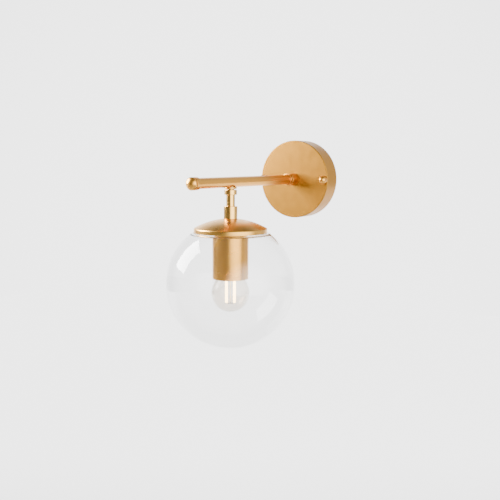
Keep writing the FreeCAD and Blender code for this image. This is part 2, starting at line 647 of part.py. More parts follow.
def make_lampholder():
    """The metal cover and, inside it, the holder with its screw shell and contact."""
    outer, inner, bottom = mm.cup_radius, mm.cup_radius - mm.cup_wall, CUP_TOP + mm.cup_height
    hole = mm.thread_radius + mm.fit_gap
    cup = hang("socket_cup", [
        (hole, CUP_TOP), (outer, CUP_TOP), (outer, bottom), (inner, bottom),
        (inner, HOLDER_TOP), (hole, HOLDER_TOP),
    ])
    soften(cup, "Fillet", [(outer, CUP_TOP)], mm.cup_edge)
    soften(cup, "Fillet", [(inner, HOLDER_TOP)], mm.cup_edge - mm.cup_wall)
    cavity = mm.holder_radius - mm.holder_cap_wall
    roof = HOLDER_TOP + mm.holder_cap_top
    cap = hang("lampholder_cap", [
        (mm.thread_radius, HOLDER_TOP), (mm.holder_radius, HOLDER_TOP), (mm.holder_radius, HOLDER_JOINT),
        (cavity, HOLDER_JOINT), (cavity, roof), (mm.thread_radius, roof),
    ])
    soften(cap, "Fillet", [(mm.holder_radius, HOLDER_TOP)], mm.holder_edge)
    holder_end = HOLDER_JOINT + mm.holder_height
    body = hang("lampholder_body", [
        (0, HOLDER_JOINT), (mm.holder_radius, HOLDER_JOINT), (mm.holder_radius, holder_end),
        (mm.holder_bore, holder_end), (mm.holder_bore, SHELL_TOP), (0, SHELL_TOP),
    ])
    soften(body, "Fillet", [(mm.holder_radius, holder_end)], mm.turned_edge)
    shell_inner = mm.shell_radius - mm.shell_wall
    shell_end = SHELL_TOP + mm.shell_height
    hang("screw_shell", [
        (mm.shell_hole, SHELL_TOP), (mm.shell_radius, SHELL_TOP), (mm.shell_radius, shell_end),
        (shell_inner, shell_end), (shell_inner, SHELL_TOP + mm.shell_wall),
        (mm.shell_hole, SHELL_TOP + mm.shell_wall),
    ])
    contact = new_body("centre_contact")
    sketch = plane_sketch(contact, "XZ_Plane", "contact_outline")
    foot, tip = SHELL_TOP + mm.contact_thickness, BULB_TIP - mm.contact_gap
    crest = tip - mm.contact_thickness
    draw_outline(sketch, [
        (-mm.contact_foot, SHELL_TOP), (-mm.contact_bend, SHELL_TOP), (mm.contact_bend, crest),
        (mm.contact_tip, crest), (mm.contact_tip, tip), (mm.contact_bend - mm.contact_thickness, tip),
        (-mm.contact_bend - mm.contact_thickness, foot), (-mm.contact_foot, foot),
    ])
    strip = padded(contact, sketch, mm.contact_width)
    strip.Midplane = True
    put(contact, DOWN, y=-mm.stem_reach)


def make_bulb():
    """Round filament lamp: glass, screw cap, insulator, tip, glass stem and filaments."""
    centre, radius, glass = mm.bulb_centre, mm.bulb_radius, mm.bulb_glass
    inner_neck = mm.bulb_neck_radius - glass
    rise = centre.number - mm.bulb_cap_bottom.number
    reach = math.hypot(mm.bulb_neck_radius.number, rise)
    touch = math.atan2(mm.bulb_neck_radius.number, rise) + math.acos(radius.number / reach)
    across, depth = radius.number * math.sin(touch), centre.number - radius.number * math.cos(touch)
    hang("bulb_glass", [
        (mm.bulb_neck_radius, mm.bulb_neck_top), (mm.bulb_neck_radius, mm.bulb_cap_bottom),
        (Free(across), Free(depth), Arc(radius, centre), "tangent"),
        (0, Free(centre.number + radius.number)),
        (0, Free(centre.number + radius.number - glass.number),
         Arc(radius - glass, Free(centre.number), 2)),
        (Free(across - glass.number), Free(depth), "tangent"),
        (inner_neck, mm.bulb_cap_bottom), (inner_neck, mm.bulb_neck_top),
    ])
    shoulder = mm.bulb_cap_top + mm.bulb_cap_taper
    inner_cap = mm.bulb_cap_radius - mm.bulb_cap_wall
    hang("bulb_screw_cap", [
        (mm.insulator_radius, mm.bulb_cap_top), (mm.bulb_cap_radius, shoulder),
        (mm.bulb_cap_radius, mm.bulb_cap_bottom), (inner_cap, mm.bulb_cap_bottom),
        (inner_cap, shoulder + mm.bulb_cap_wall), (mm.insulator_radius, mm.bulb_cap_top + mm.bulb_cap_wall),
    ])
    insulator_top = mm.bulb_cap_top - mm.insulator_height
    hang("bulb_insulator", [
        (0, insulator_top), (mm.insulator_top_radius, insulator_top),
        (mm.insulator_radius, mm.bulb_cap_top), (0, mm.bulb_cap_top),
    ])
    tip = hang("bulb_tip_contact", [
        (0, BULB_TIP), (mm.bulb_tip_radius, BULB_TIP), (mm.bulb_tip_radius, insulator_top),
        (0, insulator_top),
    ])
    soften(tip, "Fillet", [(mm.bulb_tip_radius, BULB_TIP)], mm.turned_edge)
    flare_end = mm.pillar_top + mm.pillar_flare
    hang("bulb_glass_stem", [
        (0, mm.pillar_top), (mm.pillar_flare_radius, mm.pillar_top), (mm.pillar_radius, flare_end),
        (mm.pillar_radius, mm.pillar_bottom), (0, mm.pillar_bottom),
    ])


def rod(radius, start, end):
    """A round rod between two points."""
    first, last = FreeCAD.Vector(*start), FreeCAD.Vector(*end)
    return Part.makeCylinder(radius, (last - first).Length, first, last - first)


def make_filaments():
    """Two straight filaments, with the wires that hold them."""
    half, top = mm.filament_spacing.number / 2, mm.filament_top.number
    bottom = top + mm.filament_length.number
    wire, lead = mm.wire_radius.number, mm.wire_spacing.number / 2
    pillar = mm.pillar_bottom.number
    strips = [rod(mm.filament_radius.number, (side * half, 0, top), (side * half, 0, bottom))
              for side in (-1, 1)]
    frame = rod(wire, (0, 0, pillar), (0, 0, bottom + wire))
    between = Part.makeCylinder(half + wire, top - pillar, FreeCAD.Vector(0, 0, pillar))
    splay = half - 2 * wire - lead
    for side in (-1, 1):
        lead_wire = rod(wire, (side * (lead - splay), 0, 2 * pillar - top),
                        (side * (lead + 2 * splay), 0, 2 * top - pillar))
        frame = frame.fuse(lead_wire.common(between))
    frame = frame.fuse(rod(wire, (-half, 0, bottom + wire), (half, 0, bottom + wire)))
    turned_in = DOWN.multiply(FreeCAD.Rotation(FreeCAD.Vector(0, 0, 1), mm.filament_turn.number))
    place = FreeCAD.Placement(FreeCAD.Vector(0, -mm.stem_reach.number, 0), turned_in)
    for label, shape in (("bulb_filaments", Part.makeCompound(strips)), ("bulb_wires", frame)):
        feature = keep(label, doc.addObject("Part::Feature", label))
        feature.Shape = shape
        feature.Placement = place


def make_globe():
    """Blown globe with a short neck, and the gasket that lies on the neck's edge."""
    radius, glass = mm.globe_radius, mm.globe_glass
    shoulder = RIM_BOTTOM + mm.globe_gap
    neck_top = shoulder - mm.neck_height
    neck_inner = NECK_RADIUS - glass
    shoulder_radius = NECK_RADIUS + mm.shoulder_step
    centre = shoulder.number + math.sqrt(radius.number ** 2 - shoulder_radius.number ** 2)
    inside = radius.number - glass.number
    mouth = math.sqrt(inside ** 2 - (centre - shoulder.number - glass.number) ** 2)
    body = hang("globe", [
        (NECK_RADIUS, neck_top), (NECK_RADIUS, shoulder),
        (shoulder_radius, shoulder, Arc(radius, Free(centre))), (0, Free(centre + radius.number)),
        (0, Free(centre + inside), Arc(radius - glass, Free(centre), 2)),
        (Free(mouth), shoulder + glass), (neck_inner, shoulder + glass), (neck_inner, neck_top),
    ])
    soften(body, "Fillet", [(shoulder_radius, shoulder)], mm.shoulder_round)
    soften(body, "Fillet", [(NECK_RADIUS, shoulder)], mm.neck_round)
    hang("globe_gasket", tube_outline(NECK_RADIUS, NECK_RADIUS - mm.gasket_width,
                                      neck_top - mm.gasket_thickness, neck_top))


make_bracket()
make_studs()
make_cap_nuts()
make_earth_screw()
make_terminal_block()
make_canopy()
make_arm()
make_swivel()
make_stem()
make_dome()
make_lampholder()
make_bulb()
make_filaments()
make_globe()
doc.recompute()

failed = [item.Name for item in doc.Objects if "Invalid" in item.State or "Error" in item.State]
if failed:
    raise RuntimeError(f"these failed: {failed}")
for label, piece in PIECES.items():
    if piece.Shape.isNull() or not piece.Shape.isValid() or piece.Shape.Volume <= 0:
        raise RuntimeError(f"{label} has no valid solid")

os.makedirs("parts", exist_ok=True)
for label, piece in PIECES.items():
    piece.Shape.exportStep(f"parts/{label}.step")
    box = piece.Shape.BoundBox
    spans = ", ".join(f"{axis} {low:.1f}..{high:.1f}" for axis, low, high in (
        ("x", box.XMin, box.XMax), ("y", box.YMin, box.YMax), ("z", box.ZMin, box.ZMax)))
    print(f"{label}: {len(piece.Shape.Solids)} solid(s), {piece.Shape.Volume:.0f} mm3, {spans}")
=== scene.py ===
"""Globe wall sconce: satin gold metal, a clear blown globe and a lit filament bulb.

Every turned piece is an outline spun about its own axis: the arm's axis, which runs
out of the wall along -Y, or the stem's axis, which hangs down from the arm. An outline
is a list of (radius, distance along the axis). The outside sizes come from the frame.
"""

import math

import bpy
from mathutils import Matrix, Vector


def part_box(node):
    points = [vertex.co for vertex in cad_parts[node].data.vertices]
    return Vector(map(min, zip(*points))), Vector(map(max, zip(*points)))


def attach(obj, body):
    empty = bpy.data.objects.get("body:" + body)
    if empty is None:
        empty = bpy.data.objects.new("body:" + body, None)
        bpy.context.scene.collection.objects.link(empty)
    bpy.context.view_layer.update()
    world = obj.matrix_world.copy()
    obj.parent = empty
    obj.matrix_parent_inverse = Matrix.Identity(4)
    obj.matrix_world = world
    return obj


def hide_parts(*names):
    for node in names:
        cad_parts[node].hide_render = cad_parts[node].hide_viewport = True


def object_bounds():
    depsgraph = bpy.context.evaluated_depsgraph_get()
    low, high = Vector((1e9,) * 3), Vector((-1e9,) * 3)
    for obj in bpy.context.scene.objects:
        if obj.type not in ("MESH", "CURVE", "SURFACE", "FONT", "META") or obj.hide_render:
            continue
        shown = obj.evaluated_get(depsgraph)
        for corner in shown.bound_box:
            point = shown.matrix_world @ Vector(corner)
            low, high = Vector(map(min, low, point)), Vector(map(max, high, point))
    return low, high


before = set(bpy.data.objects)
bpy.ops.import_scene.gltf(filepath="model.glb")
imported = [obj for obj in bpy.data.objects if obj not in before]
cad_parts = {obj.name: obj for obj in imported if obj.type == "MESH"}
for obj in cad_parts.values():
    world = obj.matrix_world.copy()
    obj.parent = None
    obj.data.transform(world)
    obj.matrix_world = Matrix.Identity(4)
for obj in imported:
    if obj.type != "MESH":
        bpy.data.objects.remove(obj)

CAD_BOX = [list(corner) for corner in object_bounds()]

bl_info = {
    "name": "Globe Wall Sconce",
    "version": (1, 0, 0),
    "blender": (4, 5, 0),
    "location": "View3D > Sidebar > Sconce",
    "description": "Builds a globe wall sconce around its packed frame",
    "category": "Add Mesh",
}

MM = 0.001
WALL_POINT = Vector((0, 0, 0))
ARM_AXIS = Vector((0, -1, 0))
STEM_AXIS = Vector((0, 0, -1))

# Sides of a turned piece. The wider it is, the more it takes to look round.
WIDE_STEPS = 192
COVER_STEPS = 160
BULB_STEPS = 128
TUBE_STEPS = 96
NUT_STEPS = 64
FILAMENT_STEPS = 32


# --------------------------------------------------------- places in the frame

def low_high(node):
    """The lowest and highest corner of a node in the frame."""
    low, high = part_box(node)
    return Vector(low), Vector(high)


def middle_of(node):
    """The middle of a node's box."""
    low, high = low_high(node)
    return (low + high) / 2


def radius_of(node):
    """The outside radius of a round node, whose axis is the arm's or the stem's."""
    low, high = low_high(node)
    return (high.x - low.x) / 2


def on_arm(node):
    """A round node's radius, and how far from the wall it starts and ends."""
    low, high = low_high(node)
    return radius_of(node), -high.y, -low.y


def on_stem(node):
    """A round node's radius, and how far below the arm's axis it starts and ends."""
    low, high = low_high(node)
    return radius_of(node), -high.z, -low.z


STEM_REACH = -sum(corner.y for corner in low_high("stem_tube")) / 2
STEM_TOP = Vector((0, -STEM_REACH, 0))


# -------------------------------------------------------------------- settings

def linear(hex_colour):
    """An sRGB hex colour as the linear red, green and blue that Blender works in."""
    parts = [int(hex_colour[start:start + 2], 16) / 255 for start in (1, 3, 5)]
    return [part / 12.92 if part <= 0.04045 else ((part + 0.055) / 1.055) ** 2.4
            for part in parts]


def length_setting(name, millimetres, description):
    """A length that can be set, with its default in millimetres."""
    return bpy.props.FloatProperty(
        name=name, description=description, default=millimetres * MM, unit="LENGTH")


def angle_setting(name, degrees, description):
    """An angle that can be set, with its default in degrees."""
    return bpy.props.FloatProperty(
        name=name, description=description, default=math.radians(degrees), subtype="ANGLE")


def colour_setting(name, hex_colour, description):
    """A colour that can be set, with its default as an sRGB hex colour."""
    return bpy.props.FloatVectorProperty(
        name=name, description=description, default=linear(hex_colour), subtype="COLOR")


class SconceSizes(bpy.types.PropertyGroup):
    """Sizes that the frame doesn't give, or that the finish needs."""

    sheet_metal: length_setting("Sheet metal", 1.2, "Thickness of the canopy and the dome")
    canopy_edge: length_setting("Canopy edge", 0.2, "Rounding on the canopy's cut edges")
    spun_edge: length_setting("Spun edge", 0.3, "Rounding on the dome's and cover's edges")
    turned_edge: length_setting("Turned edge", 0.45, "Rounding on corners of turned metal")
    bead_edge: length_setting("Bead edge", 1.0, "Rounding of the bead under the arm")

    tube_wall: length_setting("Tube wall", 1.0, "Thickness of the arm's tube")
    spigot_fit: length_setting("Spigot fit", 0.05, "Room between the tube and its spigots")
    collar_gap: length_setting("Collar gap", 1.0, "Groove between the collar and the tube")
    end_curve: length_setting("End curve", 8.5, "Radius of the end cap's dome")
    end_groove: length_setting("End groove", 0.9, "Groove between front ring and end cap")

    stem_bore: length_setting("Stem bore", 3.5, "Radius of the wire hole in the stem")
    pivot_bore: length_setting("Pivot bore", 4.08, "Radius of the hole for the pivot")
    swivel_cavity: length_setting("Swivel cavity", 6.1, "Radius inside the swivel's shell")
    swivel_roof: length_setting("Swivel roof", 1.2, "Thickness of the shell's top")

    dome_curve: length_setting("Dome curve", 85, "Radius of the dome's sphere")
    dome_band: length_setting("Dome band", 4.7, "Height of the straight band under the dome")
    dome_shoulder: length_setting("Dome shoulder", 2.8, "Rounding from dome to band")
    rim_lip: length_setting("Rim lip", 1.2, "Reach and height of the lip inside the rim")
    vent_radius: length_setting("Vent radius", 2, "Radius of the three holes in the dome")
    vent_circle: length_setting("Vent circle", 23, "Radius of the circle of the holes")

    cover_wall: length_setting("Cover wall", 1.0, "Thickness of the lampholder's cover")
    cover_shoulder: length_setting("Cover shoulder", 3.0, "Rounding at the cover's top")

    globe_wall: length_setting("Globe wall", 1.6, "Thickness of the globe's glass")
    globe_gap: length_setting("Globe gap", 0.5, "From the rim down to the globe's shoulder")
    globe_shoulder: length_setting("Globe shoulder", 1.6, "Rounding of the shoulder")
    neck_root: length_setting("Neck root", 1.2, "Rounding between neck and shoulder")

    bulb_wall: length_setting("Bulb wall", 1.1, "Thickness of the bulb's glass")
    bulb_neck: length_setting("Bulb neck", 12.6, "Radius of the bulb's glass in its cap")
    filament_radius: length_setting("Filament radius", 1.6, "Radius of a filament's glow")
    filament_offset: length_setting("Filament offset", 4.7, "From the middle to a filament")
    filament_turn: angle_setting("Filament turn", 35, "Turn of the pair of filaments")


class SconceColours(bpy.types.PropertyGroup):
    """Colours of the finishes."""

    gold: colour_setting("Satin gold", "#E6A648", "Lacquered tube and cover")
    painted_gold: colour_setting("Painted gold", "#AA7624", "The canopy's metallic paint")
    dome_gold: colour_setting("Dome gold", "#E2AA50", "The dome's finer lacquer")
    bright_gold: colour_setting("Bright gold", "#E9B55E", "Turned metal, finely finished")
    zinc: colour_setting("Zinc", "#B9BBBD", "Plated steel inside the canopy")
    brass: colour_setting("Brass", "#D9B260", "Contacts and terminal screws")
    filament: colour_setting("Filament light", "#FFDCA0", "Light of the lit filaments")
    floor: colour_setting("Floor", "#F2F2F1", "Pale studio floor")


class SconceCamera(bpy.types.PropertyGroup):
    """Where the camera stands, solved from the photograph's perspective."""

    azimuth: angle_setting("Azimuth", 34.064, "Turn right from straight in front of the wall")
    elevation: angle_setting("Elevation", 7.115, "Height angle above the object")
    roll: angle_setting("Roll", 0.278, "Turn of the camera about its own view")
    distance: length_setting("Distance", 979.31, "From the camera to the point it looks at")
    looks_at: bpy.props.FloatVectorProperty(
        name="Looks at", description="The point in the middle of the view", subtype="XYZ",
        default=(-34.139 * MM, -75 * MM, -90.488 * MM), unit="LENGTH")
    lens: bpy.props.FloatProperty(
        name="Lens", description="Focal length in millimetres", default=54.68)
    sensor: bpy.props.FloatProperty(
        name="Sensor", description="Width of the sensor in millimetres", default=36)


# ------------------------------------------------------------------- materials

# Most values of a noise texture lie between these two.
NOISE_LOW, NOISE_HIGH = 0.3, 0.7
GLASS_IOR = 1.5
PLASTIC_IOR = 1.5

# The materials made here, by name. The frame brings some of the same names, so they
# aren't looked up in the file.
MADE = {}


def add_node(tree, kind, sockets=None, **settings):
    """Add a node with its settings. A socket takes a value, or another node's output."""
    made = tree.nodes.new(kind)
    for name, value in settings.items():
        setattr(made, name, value)
    for name, value in (sockets or {}).items():
        if isinstance(value, bpy.types.NodeSocket):
            tree.links.new(value, made.inputs[name])
        else:
            made.inputs[name].default_value = value
    return made


def new_tree(name):
    """The empty node tree of a new material."""
    material = bpy.data.materials.new(name)
    material.use_nodes = True
    material.node_tree.nodes.clear()
    MADE[name] = material
    return material.node_tree


def object_place(tree):
    """The coordinates of a point on its object, in metres."""
    return add_node(tree, "ShaderNodeTexCoord").outputs["Object"]


def finish_tree(tree, sockets):
    """Put the shader and the output last, with the shader's sockets set or linked."""
    shader = add_node(tree, "ShaderNodeBsdfPrincipled", sockets)
    add_node(tree, "ShaderNodeOutputMaterial", {"Surface": shader.outputs["BSDF"]})


def rgba(colour):
    return (*colour, 1)


def per_metre(size):
    """A noise scale whose features are about this many metres across."""
    return 1 / size


def varied(tree, coordinates, size, low, high, fine=0.55):
    """A noise that wanders between two values, with features of the given size. The
    finer detail in it is stronger where fine is higher."""
    noise = add_node(tree, "ShaderNodeTexNoise", {
        "Vector": coordinates, "Scale": per_metre(size), "Detail": 3, "Roughness": fine})
    spread = add_node(tree, "ShaderNodeMapRange", {
        "Value": noise.outputs["Fac"], "From Min": NOISE_LOW, "From Max": NOISE_HIGH,
        "To Min": low, "To Max": high})
    return spread.outputs["Result"]


def uneven(tree, coordinates, size, roughness, spread, fine=0.55):
    """A roughness that wanders by the spread to both sides."""
    return varied(tree, coordinates, size, roughness - spread, roughness + spread, fine)


def clouded(tree, coordinates, size, colour, shade):
    """The colour, with soft patches where it is darker by the shade."""
    mix = add_node(tree, "ShaderNodeMix", {
        "Factor": varied(tree, coordinates, size, 0.0, 1.0),
        "A": rgba([part * shade for part in colour]), "B": rgba(colour)}, data_type="RGBA")
    return mix.outputs[2]


def relief(tree, coordinates, size, detail, fine, strength, depth):
    """A bump from a noise with features of the given size, up to the given depth."""
    noise = add_node(tree, "ShaderNodeTexNoise", {
        "Vector": coordinates, "Scale": per_metre(size), "Detail": detail, "Roughness": fine})
    bump = add_node(tree, "ShaderNodeBump", {
        "Height": noise.outputs["Fac"], "Strength": strength, "Distance": depth})
    return bump.outputs["Normal"]


def satin_lacquer(name, colour, roughness, metallic):
    """Steel sheet with a fine metallic gold lacquer: a soft, even sheen with slightly
    uneven gloss. The grain of the spray is too fine to show and isn't drawn."""
    tree = new_tree(name)
    place = object_place(tree)
    finish_tree(tree, {
        "Base Color": clouded(tree, place, 22 * MM, colour, shade=0.955),
        "Roughness": uneven(tree, place, 9 * MM, roughness, spread=0.04),
        "Metallic": metallic, "Specular IOR Level": 0.1})


def turned_metal(name, colour, roughness, axis):
    """Metal turned on a lathe, plated and lacquered: its gloss varies in fine rings
    round its axis, which is 1 for Y or 2 for Z. Real rings lie about 0.1 mm apart. That
    is too fine to show, so these are 3 mm apart."""
    tree = new_tree(name)
    stretch = [per_metre(25 * MM)] * 3
    stretch[axis] = per_metre(3 * MM)
    rings = add_node(tree, "ShaderNodeMapping", {
        "Vector": object_place(tree), "Scale": stretch}, vector_type="POINT")
    finish_tree(tree, {
        "Base Color": rgba(colour), "Metallic": 1.0,
        "Roughness": uneven(tree, rings.outputs["Vector"], 1.0, roughness, 0.01, fine=0.6)})


def blown_glass(name, tint, wave):
    """Clear soda-lime glass, blown: its surface waves a little over some centimetres."""
    tree = new_tree(name)
    finish_tree(tree, {
        "Base Color": rgba(linear(tint)), "Metallic": 0.0, "Roughness": 0.0,
        "IOR": GLASS_IOR, "Transmission Weight": 1.0,
        "Normal": relief(tree, object_place(tree), 35 * MM, detail=1, fine=0.4,
                         strength=wave, depth=0.4 * MM)})


def plain_metal(name, colour, roughness, patch):
    """Plated or bare small metal parts, with a slightly uneven gloss."""
    tree = new_tree(name)
    place = object_place(tree)
    finish_tree(tree, {
        "Base Color": clouded(tree, place, patch * 2, colour, shade=0.88),
        "Roughness": uneven(tree, place, patch, roughness, spread=0.07), "Metallic": 1.0})


def moulded_plastic(name, hex_colour, roughness, grain, scatter=0.0):
    """Injection-moulded plastic or rubber, with the fine grain of its mould. The real
    grain is under 0.1 mm and too fine to show, so this one is coarser."""
    tree = new_tree(name)
    place = object_place(tree)
    finish_tree(tree, {
        "Base Color": rgba(linear(hex_colour)), "IOR": PLASTIC_IOR,
        "Roughness": uneven(tree, place, 6 * MM, roughness, spread=0.05),
        "Normal": relief(tree, place, grain, detail=2, fine=0.5, strength=0.15,
                         depth=0.05 * MM),
        "Subsurface Weight": scatter, "Subsurface Scale": 2 * MM})


def lit_filament(name, colour, strength):
    """Phosphor-coated filament, lit: warm white, far brighter than what is round it."""
    finish_tree(new_tree(name), {
        "Base Color": rgba(linear("#F2C56B")), "Roughness": 0.6,
        "Emission Color": rgba(colour), "Emission Strength": strength})


def make_materials():
    """Make all finishes."""
    colours = bpy.context.scene.sconce_colours
    satin_lacquer("satin_gold_paint", colours.painted_gold, roughness=0.36, metallic=0.55)
    satin_lacquer("polished_gold_lacquer", colours.dome_gold, roughness=0.3, metallic=1.0)
    turned_metal("drawn_tube_gold_lacquer", colours.gold, roughness=0.32, axis=1)
    turned_metal("turned_bar_gold_plate", colours.bright_gold, roughness=0.2, axis=2)
    turned_metal("spun_cover_gold_lacquer", colours.gold, roughness=0.28, axis=2)
    blown_glass("clear_blown_soda_glass", "#FFFFFF", wave=0.05)
    blown_glass("clear_bulb_glass", "#F6F1EA", wave=0.0)
    # A steel much darker than bare steel, painted as the shade inside the dome and in its
    # vents.
    plain_metal("dark_steel_painted_shade", linear("#3A3836"), roughness=0.55, patch=5 * MM)
    plain_metal("zinc_plated_steel", colours.zinc, roughness=0.36, patch=5 * MM)
    plain_metal("bare_brass", colours.brass, roughness=0.3, patch=4 * MM)
    plain_metal("rolled_aluminium", linear("#C8C9CA"), roughness=0.3, patch=3 * MM)
    plain_metal("nickel_wire", linear("#B7B2A8"), roughness=0.25, patch=2 * MM)
    moulded_plastic("urea_moulding", "#E9E6DC", 0.42, grain=0.5 * MM, scatter=0.05)
    moulded_plastic("polyamide_block", "#EFEDE6", 0.5, grain=0.6 * MM, scatter=0.2)
    moulded_plastic("black_cap_glass", "#131313", 0.15, grain=1.0 * MM)
    moulded_plastic("silicone_rubber", "#D9D8D2", 0.45, grain=0.8 * MM, scatter=0.3)
    lit_filament("lit_phosphor_filament", colours.filament, strength=45.0)


def finish(name):
    """The material of that name. All of them are made on first use."""
    if name not in MADE:
        make_materials()
    return MADE[name]


def coat(piece, name):
    """Give a piece one material all over."""
    piece.data.materials.clear()
    piece.data.materials.append(finish(name))


# ------------------------------------------------------------------- modelling

SHARP_EDGE = math.radians(35)
WELD_DISTANCE = 0.002 * MM


def deselect():
    if bpy.context.mode != "OBJECT":
        bpy.ops.object.mode_set(mode="OBJECT")
    bpy.ops.object.select_all(action="DESELECT")


def arc(centre, radius, start, end, count):
    """Points of an arc as (radius, distance): angles in degrees, 0 points away from the
    axis and 90 points further along it."""
    angles = [math.radians(start + (end - start) * step / count) for step in range(count + 1)]
    return [(centre[0] + radius * math.cos(angle), centre[1] + radius * math.sin(angle))
            for angle in angles]


def ring(outer, inner, start, end):
    """The closed outline of a plain tube or ring."""
    return [(outer, start), (outer, end), (inner, end), (inner, start), (outer, start)]


def spun(name, outline, origin, axis, steps, edge=0.0):
    """Draw an outline, spin it full circle about the axis through the origin and round
    its sharp edges."""
    deselect()
    across = Vector((1, 0, 0))
    points = [across * radius + origin + axis * along for radius, along in outline]
    # A plane merged to its middle is the single vertex that the outline starts from.
    bpy.ops.mesh.primitive_plane_add(size=MM, location=points[0])
    piece = bpy.context.object
    piece.name = name
    piece.data.name = name
    bpy.ops.object.mode_set(mode="EDIT")
    bpy.ops.mesh.select_all(action="SELECT")
    bpy.ops.mesh.merge(type="CENTER")
    for start, end in zip(points, points[1:]):
        bpy.ops.mesh.extrude_region_move(TRANSFORM_OT_translate={"value": end - start})
    bpy.ops.mesh.select_all(action="SELECT")
    bpy.ops.mesh.spin(steps=steps, angle=math.tau, center=origin, axis=axis)
    bpy.ops.mesh.select_all(action="SELECT")
    bpy.ops.mesh.remove_doubles(threshold=WELD_DISTANCE)
    bpy.ops.mesh.normals_make_consistent(inside=False)
    bpy.ops.object.mode_set(mode="OBJECT")
    bpy.ops.object.transform_apply(location=True, rotation=True, scale=True)
    if edge:
        round_edges(piece, edge)
    bpy.ops.object.shade_smooth()
    return piece


def apply_modifier(piece, kind, **settings):
    """Add a modifier to the piece, set it and apply it."""
    bpy.context.view_layer.objects.active = piece
    bpy.ops.object.modifier_add(type=kind)
    modifier = piece.modifiers[-1]
    for name, value in settings.items():
        setattr(modifier, name, value)
    bpy.ops.object.modifier_apply(modifier=modifier.name)


def round_edges(piece, width):
    """Round the sharp edges, then weight the normals so that flat faces stay flat."""
    apply_modifier(piece, "BEVEL", width=width, segments=3, limit_method="ANGLE",
                   angle_limit=SHARP_EDGE, use_clamp_overlap=True)
    bpy.ops.object.shade_smooth()
    apply_modifier(piece, "WEIGHTED_NORMAL", keep_sharp=False)


def settle(piece, body, material, node):
    """Give a finished piece its finish, its body and the node that it stands for."""
    coat(piece, material)
    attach(piece, body)
    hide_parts(node)


class SconceOperator:
    """What all the operators share."""

    bl_options = {"REGISTER", "UNDO"}

    def sizes(self):
        return bpy.context.scene.sconce_sizes


class SCONCE_OT_canopy(SconceOperator, bpy.types.Operator):
    """The cup on the wall and the two domed nuts that hold it"""

    bl_idname = "sconce.canopy"
    bl_label = "Canopy and cap nuts"

    def execute(self, context):
        sizes = self.sizes()
        self.cup(sizes.sheet_metal, sizes.canopy_edge)
        for side in ("left", "right"):
            self.nut(f"cap_nut_{side}")
        return {"FINISHED"}

    def cup(self, wall, edge):
        """The cup, whose outer corner is as round as its sheet is thick."""
        radius, start, face = on_arm("canopy")
        hole = radius_of("arm_nipple")
        corner = arc((radius - wall, face - wall), wall, 90, 0, 8)
        outline = [(hole, face), *corner, (radius, start), (radius - wall, start),
                   (radius - wall, face - wall), (hole, face - wall), (hole, face)]
        piece = spun("canopy_cup", outline, WALL_POINT, ARM_AXIS, WIDE_STEPS)
        round_edges(piece, edge)
        settle(piece, "wall_mount", "satin_gold_paint", "canopy")

    def nut(self, node):
        """A round nut with a half ball on it and a small chamfer at its foot."""
        radius, base, tip = on_arm(node)
        chamfer = radius * 0.1
        outline = [(0, base), (radius - chamfer, base), (radius, base + chamfer),
                   *arc((0, tip - radius), radius, 0, 90, 20)]
        centre = Vector((middle_of(node).x, 0, 0))
        piece = spun(f"{node}_turned", outline, centre, ARM_AXIS, NUT_STEPS)
        settle(piece, node, "drawn_tube_gold_lacquer", node)


class SCONCE_OT_arm(SconceOperator, bpy.types.Operator):
    """The collar, the rings, the tube and the end cap"""

    bl_idname = "sconce.arm"
    bl_label = "Arm"

    def turn(self, name, outline, node):
        edge = self.sizes().turned_edge
        piece = spun(name, outline, WALL_POINT, ARM_AXIS, TUBE_STEPS, edge)
        settle(piece, "wall_mount", "drawn_tube_gold_lacquer", node)

    def execute(self, context):
        sizes = self.sizes()
        tube, tube_start, tube_end = on_arm("arm_tube")
        collar, collar_start, spigot_end = on_arm("arm_collar")
        rear, rear_start, rear_end = on_arm("arm_rear_ring")
        front, front_start, front_end = on_arm("arm_front_ring")
        inside = tube - sizes.tube_wall
        spigot = inside - sizes.spigot_fit
        collar_end = tube_start - sizes.collar_gap
        self.turn("collar_turned", [
            (0, collar_start), (collar, collar_start), (collar, collar_end),
            (spigot, collar_end), (spigot, spigot_end), (0, spigot_end)], "arm_collar")
        self.turn("rear_ring_turned", ring(rear, tube, rear_start, rear_end), "arm_rear_ring")
        self.turn("tube_drawn", ring(tube, inside, tube_start, tube_end), "arm_tube")
        self.turn("front_ring_turned", ring(front, tube, front_start, front_end),
                  "arm_front_ring")
        self.end_cap(spigot, front_end + sizes.end_groove, sizes.end_curve)
        return {"FINISHED"}

    def end_cap(self, spigot, face, curve):
        """A spigot, a short straight skirt from the face on, and a shallow dome."""
        cap, back, tip = on_arm("arm_end_cap")
        half_angle = math.degrees(math.asin(cap / curve))
        centre = tip - curve
        skirt = centre + math.sqrt(curve ** 2 - cap ** 2)
        dome = arc((0, centre), curve, 90 - half_angle, 90, 24)
        self.turn("end_cap_turned", [
            (0, back), (spigot, back), (spigot, face), (cap, face), (cap, skirt), *dome[1:]],
            "arm_end_cap")


